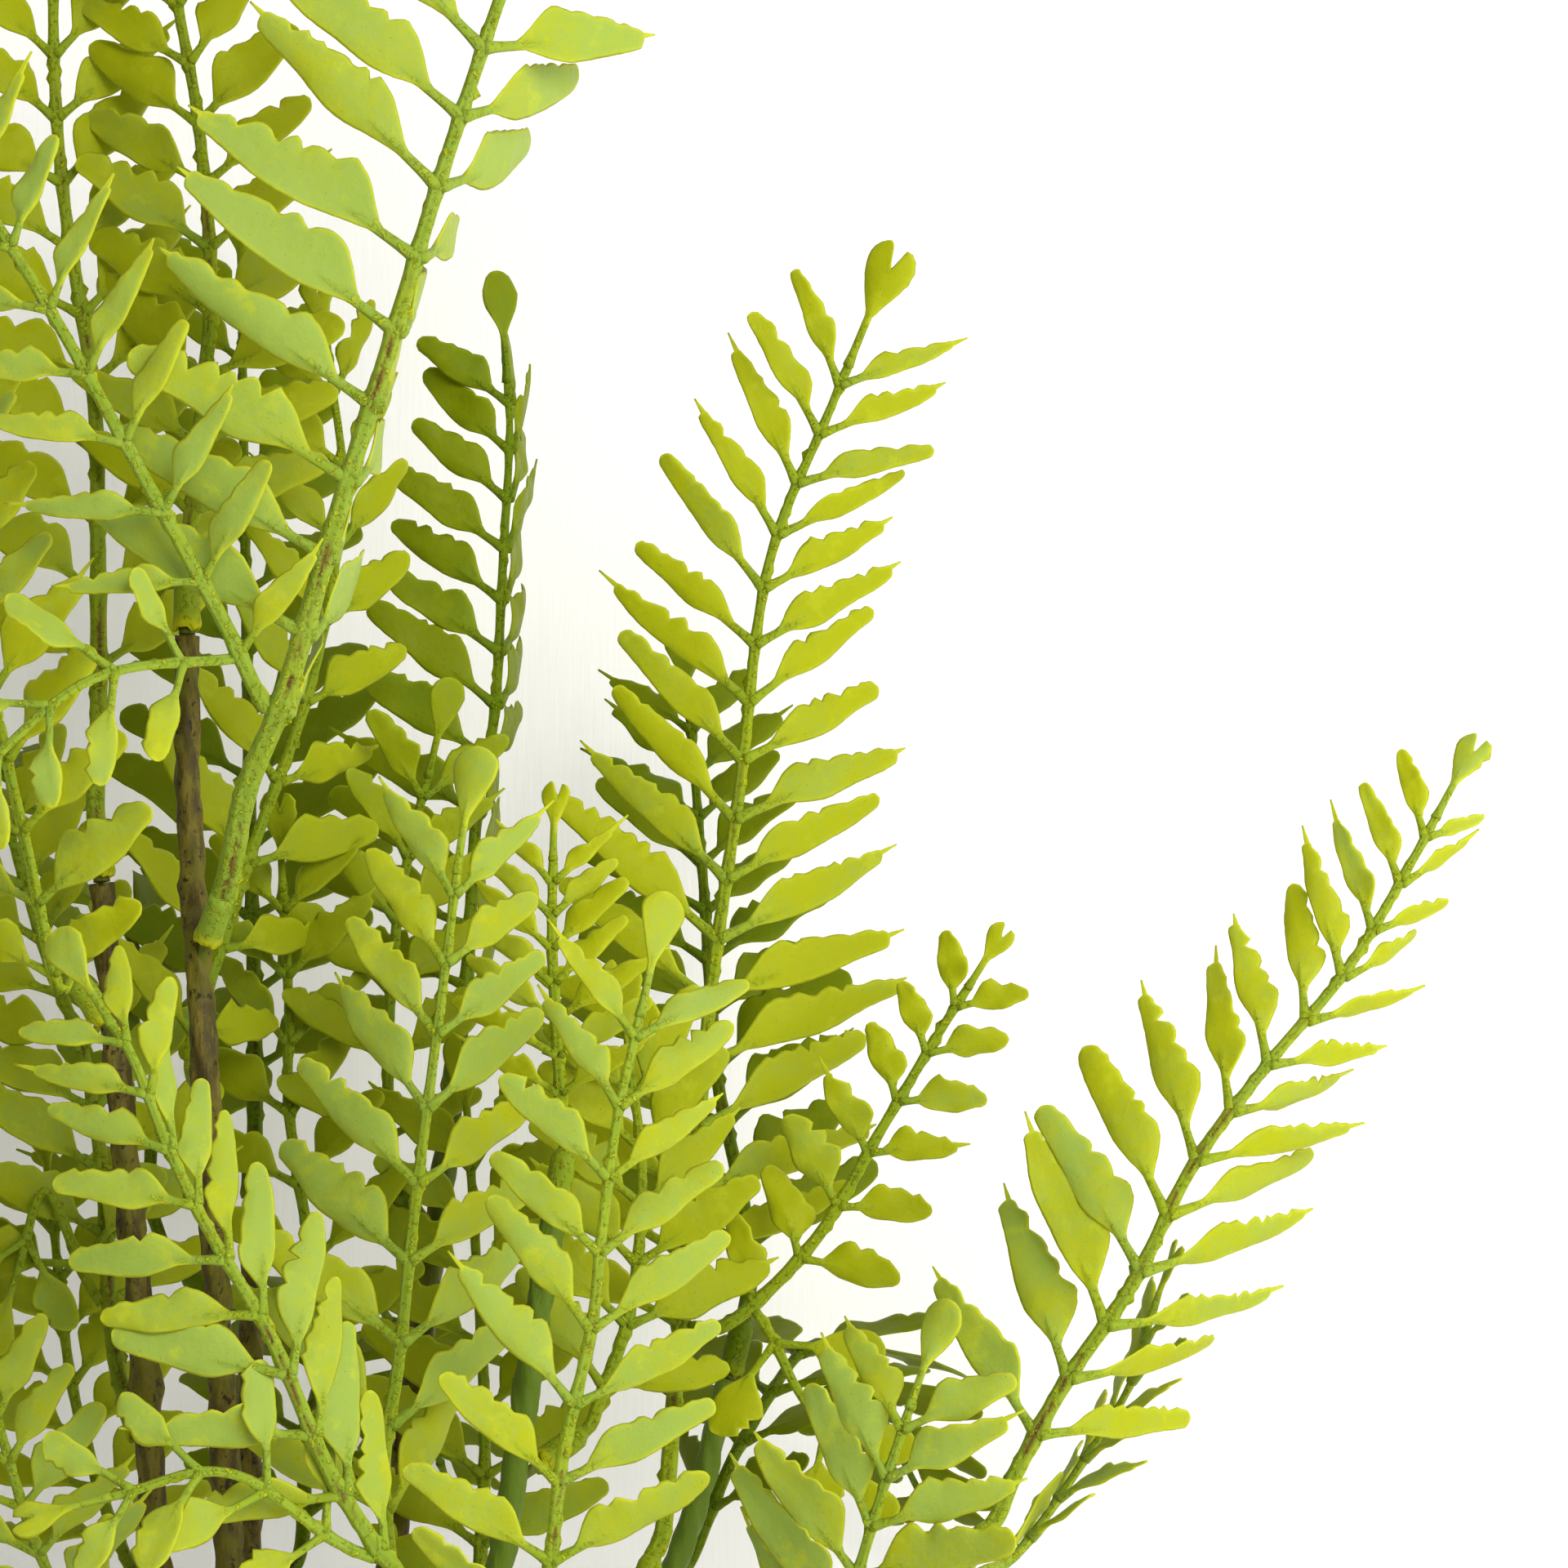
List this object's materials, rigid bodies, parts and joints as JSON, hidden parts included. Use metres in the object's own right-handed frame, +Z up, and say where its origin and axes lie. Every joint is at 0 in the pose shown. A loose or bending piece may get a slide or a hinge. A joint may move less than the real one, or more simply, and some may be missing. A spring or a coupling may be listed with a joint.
{
  "type": "potted artificial fern",
  "caption": "Artificial fern bush: lime-green moulded fronds pushed onto pegs of brown bark-look stems that stand in a weighted filling in a plain round pot.",
  "frame": {"origin": "middle of the pot's flat underside", "axes": "+Z up along the pot's axis, -Y toward the fullest side of the bush, +X to the right seen from that side"},
  "size_m": [0.4472, 0.3508, 0.6274],
  "materials": {
    "pot": "matt moulded plastic, dark grey",
    "filling": "rough brown cast filling with grit on top",
    "stem": "bark-look plastic over wire, brown",
    "frond": "satin moulded soft plastic, lime green"
  },
  "bodies": {
    "root": {"pot": "pot", "filling": "filling", "stem_01": "stem", "stem_02": "stem", "stem_03": "stem", "stem_04": "stem", "stem_05": "stem", "stem_06": "stem", "stem_07": "stem", "stem_08": "stem", "stem_09": "stem", "stem_10": "stem", "stem_11": "stem", "stem_12": "stem", "frond_01": "frond", "frond_02": "frond", "frond_03": "frond", "frond_04": "frond", "frond_05": "frond", "frond_06": "frond", "frond_07": "frond", "frond_08": "frond", "frond_09": "frond", "frond_10": "frond", "frond_11": "frond", "frond_12": "frond", "frond_13": "frond", "frond_14": "frond", "frond_15": "frond", "frond_16": "frond", "frond_17": "frond", "frond_18": "frond", "frond_19": "frond", "frond_20": "frond", "frond_21": "frond", "frond_22": "frond", "frond_23": "frond", "frond_24": "frond", "frond_25": "frond", "frond_26": "frond", "frond_27": "frond", "frond_28": "frond", "frond_29": "frond", "frond_30": "frond", "frond_31": "frond", "frond_32": "frond", "frond_33": "frond", "frond_34": "frond", "frond_35": "frond", "frond_36": "frond", "frond_37": "frond", "frond_38": "frond"}
  },
  "joints": []
}
